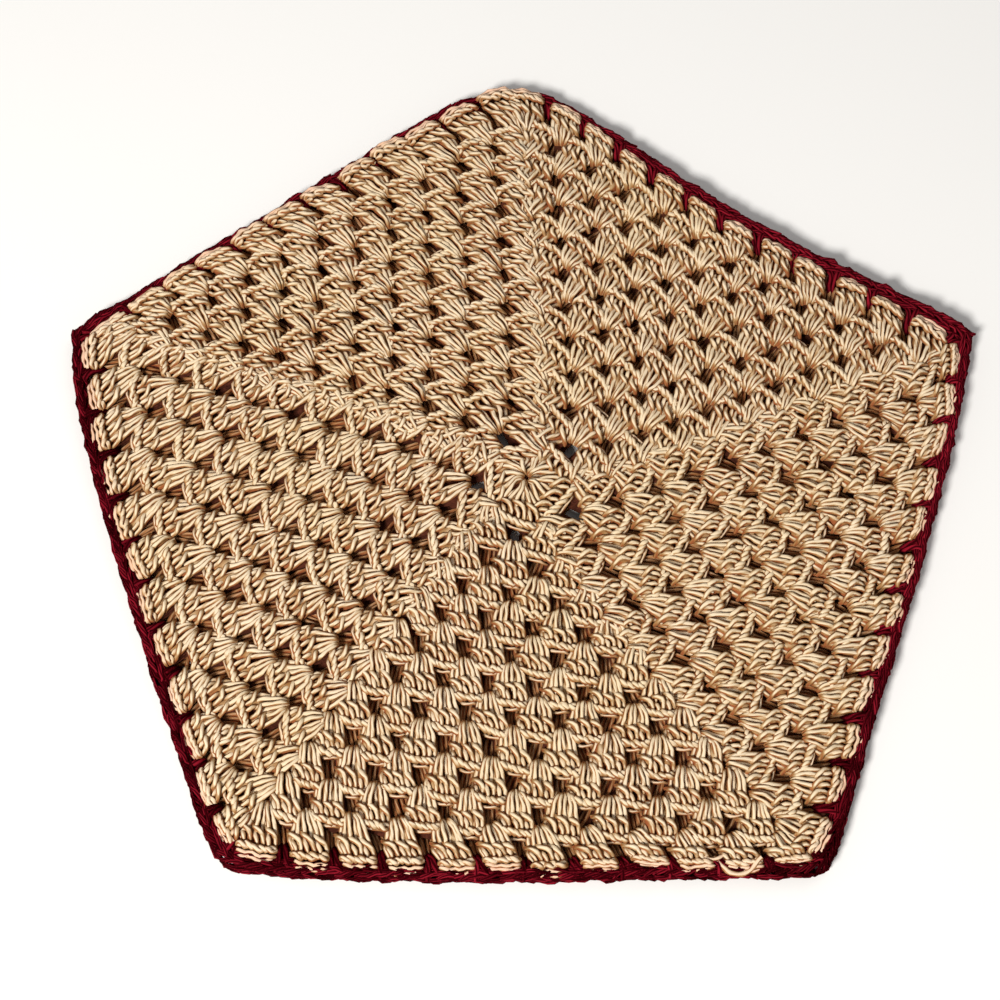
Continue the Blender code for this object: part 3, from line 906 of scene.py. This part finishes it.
def red_cotton(colours):
    """Dark red yarn: lighter in some strands, with painted light in flecks and towards the mat's far
    side, and painted shade in its ply grooves.
    """
    made, tree, shader = principled("red_yarn", Roughness=0.85, Specular_IOR_Level=0.0)
    ply, fuzz = yarn_detail(tree, 3.0, 5.0)
    patches = noise(tree, 120.0, 2.0)
    yarn = tree.blend(tree.smooth(patches, 0.3, 0.7), colours.red, colours.red_dark_and_shade)
    yarn = tree.blend(tree.smooth(attribute(tree, "tone"), 0.4, 1.0, 0.0, 0.7), yarn,
                      colours.red_light_and_highlight)
    # Painted light: the edging is lighter towards the mat's far side.
    place = object_place(tree)
    across = tree.part(place, "Y") + tree.part(place, "X") * 0.6
    far_side_light = tree.smooth(across, -50.0 * MM, 60.0 * MM, 0.0, 0.4)
    yarn = tree.blend(far_side_light, yarn, colours.red_light_and_highlight)
    # Painted highlight: lighter flecks where the fuzz stands high.
    highlight_flecked = tree.blend(tree.smooth(fuzz, 0.52, 0.72, 0.0, 0.6), yarn, colours.red_light_and_highlight)
    # Painted shade in the grooves between the plies.
    ply_groove_shaded = tree.blend(tree.smooth(ply, 0.65, 0.1, 0.0, 0.9), highlight_flecked, colours.red_dark_and_shade)
    tree.feed(shader.inputs["Base Color"], ply_groove_shaded)
    tree.feed(shader.inputs["Roughness"], tree.smooth(fuzz, 0.3, 0.7, 0.6, 0.85))
    relief(tree, shader, ply * 0.75 + fuzz * 0.6, 0.9, 0.25 * MM)
    return made


def floor_paint(colour):
    """The plain floor, a little cloudy."""
    made, tree, shader = principled("pale_floor", Roughness=0.9, Specular_IOR_Level=0.1)
    cloud = noise(tree, 6.0, 3.0)
    shade = tree.blend(tree.smooth(cloud, 0.3, 0.7) * 0.15, colour,
                       tuple(part * 0.97 for part in colour))
    tree.feed(shader.inputs["Base Color"], shade)
    return made


def finish_of(name, build):
    """The material of that name, made when it is first wanted."""
    return bpy.data.materials.get(name) or build(bpy.context.scene.mat_colours)


# ---- settings

def length(name, description, default, **limits):
    """A length that a user may change."""
    return FloatProperty(name=name, description=description, default=default, precision=5,
                         unit="LENGTH", **limits)


def colour(name, description, default):
    """A colour that a user may change."""
    return FloatVectorProperty(name=name, description=description, default=default,
                               subtype="COLOR")


class YarnSettings(bpy.types.PropertyGroup):
    """Sizes of the yarn and how evenly it is worked."""

    radius: length("Yarn radius", "Half the thickness of a strand", 0.51 * MM, min=0.2 * MM,
                   max=1.0 * MM)
    back_radius: length("Back yarn radius", "Half the thickness of a strand in the back panel",
                        0.5 * MM)
    sides: IntProperty(
        name="Yarn sides", description="Faces round a strand", default=5, min=3, max=12)
    back_sides: IntProperty(
        name="Back yarn sides", description="Faces round a strand of the back panel", default=4,
        min=3, max=12)
    step: length("Step", "Length of a face along a strand", 0.85 * MM)
    back_step: length("Back step", "Length of a face along a strand of the back panel", 2.0 * MM)
    unevenness: length("Unevenness", "How far a strand strays from the pattern", 0.38 * MM)
    wave: length("Wave", "Length over which strands stray", 4.0 * MM)
    seed: IntProperty(name="Seed", description="Chooses the unevenness", default=7)


class ColourSettings(bpy.types.PropertyGroup):
    """Colours of the yarns, among them lit and shaded copies of the cream yarn that paint light and
    shade.
    """

    yarn: colour("Cream", "The cream yarn", (0.53, 0.36, 0.20))
    # Painted highlight: the cream yarn as it is lit on top of a strand.
    pale_highlight: colour("Pale cream", "The top of a strand", (0.84, 0.69, 0.50))
    aged: colour("Aged tint", "Laid over yellower patches", (0.94, 0.90, 0.78))
    # Painted shade: the cream yarn between two strands.
    groove_shade: colour("Groove", "Between two strands", (0.37, 0.195, 0.075))
    # Painted shade: the cream yarn deep between the stitches.
    deep: colour("Deep", "Cream yarn deep between the stitches", (0.33, 0.105, 0.04))
    # A pink tint over the rim's lines beside the edging and over back strands deep in a gap; positive
    # tint values also lift the painted light, and negative ones paint shade and take no tint.
    blush: colour("Blush tint", "Laid over yarn beside the edging or deep in a gap",
                  (1.0, 0.62, 0.62))
    # Painted shade: the cloth's inside, darkened for the shade between the strands.
    inside: colour("Inside", "The darkest inside of the cloth", (0.055, 0.015, 0.008))
    red: colour("Red", "The dark red yarn", (0.075, 0.002, 0.005))
    # Used for darker patches and, as painted shade, in the ply grooves.
    red_dark_and_shade: colour("Deep red", "The red yarn in its grooves", (0.018, 0.0006, 0.0015))
    # Used for lighter strands, and as painted light towards the far side and in flecks.
    red_light_and_highlight: colour("Light red", "The lightest red strands", (0.33, 0.013, 0.028))


class StageSettings(bpy.types.PropertyGroup):
    """Floor, light and camera."""

    floor: colour("Floor", "Colour of the floor", (0.93, 0.93, 0.93))
    sky: FloatProperty(
        name="Sky", description="Strength of the light from all round", default=0.26)
    key: FloatProperty(
        name="Key light", description="Power of the main light, in watts", default=15.0)
    fill: FloatProperty(
        name="Fill light", description="Power of the second light, in watts", default=1.5)
    elevation: FloatProperty(
        name="Camera elevation", description="Angle above the floor",
        default=math.radians(70.0), subtype="ANGLE")
    distance: length("Camera distance", "From the camera to the mat", 483.4 * MM)
    lens: FloatProperty(
        name="Focal length", description="In millimetres on a 36 mm sensor", default=72.0)


# ---- operators

def stand_for(piece, node):
    """Rides on the root body, and hides the CAD node that it stands for, where one is given."""
    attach(piece, "root")
    if node:
        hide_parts(node)


def work_sectors(panel, patterns, lie, chance, **inputs):
    """A panel's clusters: for each sector a piece of the inner rounds and one of the last."""
    cream = finish_of("cream_yarn", cream_cotton)
    stitches = []
    for side, pair in enumerate(patterns):
        rounds = zip(("clusters", "last_round"), (range(1, ROUNDS), [ROUNDS]), pair)
        for kind, levels, pattern in rounds:
            places = cluster_places(side, levels, *lie, chance)
            stitches.append(work(f"{panel}_{kind}_{OUTLINE[side][0]}", pattern, places, cream,
                                 **inputs))
    return stitches


class PANEL_OT_front(bpy.types.Operator):
    """Works the front panel: its ground, five sectors of clusters and the last round"""

    bl_idname = "pot_holder.work_front"
    bl_label = "Work front panel"

    def execute(self, context):
        patterns = [(cluster_pattern(inner), rim_pattern(last))
                    for inner, last in zip(SPREAD, RIM_SPREAD)]
        stitches = work_sectors("front", patterns, (FRONT_FLOOR, 1.0, False), random.Random(11))
        stitches.append(work("loose_yarn", loose_strands(), [mat_place()],
                             finish_of("cream_yarn", cream_cotton)))
        for piece in stitches:
            stand_for(piece, None)
        base = ground("front_ground", FRONT_FLOOR + FRONT_GROUND_LIFT, False)
        stand_for(base, "front_panel")
        return {"FINISHED"}


class PANEL_OT_back(bpy.types.Operator):
    """Works the back panel, which faces down: its ground and five sectors of clusters"""

    bl_idname = "pot_holder.work_back"
    bl_label = "Work back panel"

    def execute(self, context):
        yarn = context.scene.mat_yarn
        thin = {"Yarn Radius": yarn.back_radius, "Yarn Sides": yarn.back_sides,
                "Step": yarn.back_step}
        chance = random.Random(23)
        patterns = [(plain_pattern(), plain_rim_pattern())] * SIDES
        stitches = work_sectors("back", patterns, (BACK_LIFT, -BACK_FLATNESS, True), chance, **thin)
        thin["Step"] = 3.0 * MM
        stitches.append(work("back_reverse", reverse_pattern(), reverse_places(chance),
                             finish_of("cream_yarn", cream_cotton), **thin))
        for piece in stitches:
            stand_for(piece, None)
        base = ground("back_ground", BACK_LIFT, True)
        stand_for(base, "back_panel")
        return {"FINISHED"}


class PANEL_OT_edging(bpy.types.Operator):
    """Works the edging all round, with the bars that reach in between the clusters"""

    bl_idname = "pot_holder.work_edging"
    bl_label = "Work edging"

    def execute(self, context):
        red = finish_of("red_yarn", red_cotton)
        rough = {"Step": 1.2 * MM, "Unevenness": 1.35 * context.scene.mat_yarn.unevenness,
                 "Wave": 2.5 * MM}
        band_piece = work("edging_stitches", edging_pattern(), edging_places(), red, **rough)
        bars = work("edging_bars", bar_pattern(), bar_places(), red)
        stand_for(band_piece, "edging")
        stand_for(bars, None)
        return {"FINISHED"}


def area_light(name, place, aim, size, power, colour):
    """A round lamp at a place, turned to what it lights."""
    data = bpy.data.lights.new(name, "AREA")
    data.shape, data.size, data.energy, data.color = "DISK", size, power, colour
    made = put(name, data)
    made.location = place
    made.rotation_euler = (aim - place).to_track_quat("-Z", "Y").to_euler()


class STAGE_OT_set(bpy.types.Operator):
    """Sets the floor, the lights and the camera"""

    bl_idname = "pot_holder.set_stage"
    bl_label = "Set stage"

    def execute(self, context):
        scene = context.scene
        stage = scene.mat_stage
        half, low = 4.0, -0.3 * MM
        data = bpy.data.meshes.new("floor")
        data.from_pydata([(-half, -half, low), (half, -half, low), (half, half, low),
                          (-half, half, low)], [], [(0, 1, 2, 3)])
        data.materials.append(floor_paint(stage.floor))
        put("floor", data)

        world = bpy.data.worlds.new("room")
        world.use_nodes = True
        sky = world.node_tree.nodes["Background"]
        sky.inputs["Color"].default_value = (1.0, 0.985, 0.96, 1.0)
        sky.inputs["Strength"].default_value = stage.sky
        scene.world = world
        scene.view_settings.view_transform = "Standard"

        centre = Vector((0.0, 0.0, 0.003))
        area_light("key", Vector((-0.45, -0.65, 0.85)), centre, 0.30, stage.key,
                   (1.0, 0.97, 0.92))
        area_light("fill", Vector((0.5, 0.5, 1.0)), centre, 0.8, stage.fill, (1.0, 0.97, 0.93))

        aim = START - Vector((6.02, 4.04, 0.0)) * MM
        back = Vector((0.0, -math.cos(stage.elevation), math.sin(stage.elevation)))
        data = bpy.data.cameras.new("camera")
        data.sensor_width, data.lens = 36.0, stage.lens
        data.clip_start = 0.01
        camera = put("camera", data)
        camera.location = aim + back * stage.distance
        camera.rotation_euler = (-back).to_track_quat("-Z", "Y").to_euler()
        scene.camera = camera
        return {"FINISHED"}


class PANEL_PT_pot_holder(bpy.types.Panel):
    """Lists the steps and settings of the pot holder"""

    bl_idname = "PANEL_PT_pot_holder"
    bl_label = "Pot Holder"
    bl_space_type = "VIEW_3D"
    bl_region_type = "UI"
    bl_category = "Pot Holder"

    def draw(self, context):
        for step in STEPS:
            self.layout.operator(step.bl_idname)
        for name, kind in SETTINGS.items():
            group = getattr(context.scene, name)
            for prop in kind.__annotations__:
                self.layout.prop(group, prop)


STEPS = (PANEL_OT_back, PANEL_OT_front, PANEL_OT_edging, STAGE_OT_set)
SETTINGS = {"mat_yarn": YarnSettings, "mat_colours": ColourSettings, "mat_stage": StageSettings}
CLASSES = (*SETTINGS.values(), *STEPS, PANEL_PT_pot_holder)


def register():
    for each in CLASSES:
        bpy.utils.register_class(each)
    for name, kind in SETTINGS.items():
        setattr(bpy.types.Scene, name, PointerProperty(type=kind))


def unregister():
    for name in SETTINGS:
        delattr(bpy.types.Scene, name)
    for each in reversed(CLASSES):
        bpy.utils.unregister_class(each)


def main():
    register()
    for step in STEPS:
        group, name = step.bl_idname.split(".")
        if getattr(getattr(bpy.ops, group), name)() != {"FINISHED"}:
            raise RuntimeError(f"{step.bl_label}: not finished")


if __name__ == "__main__":
    main()
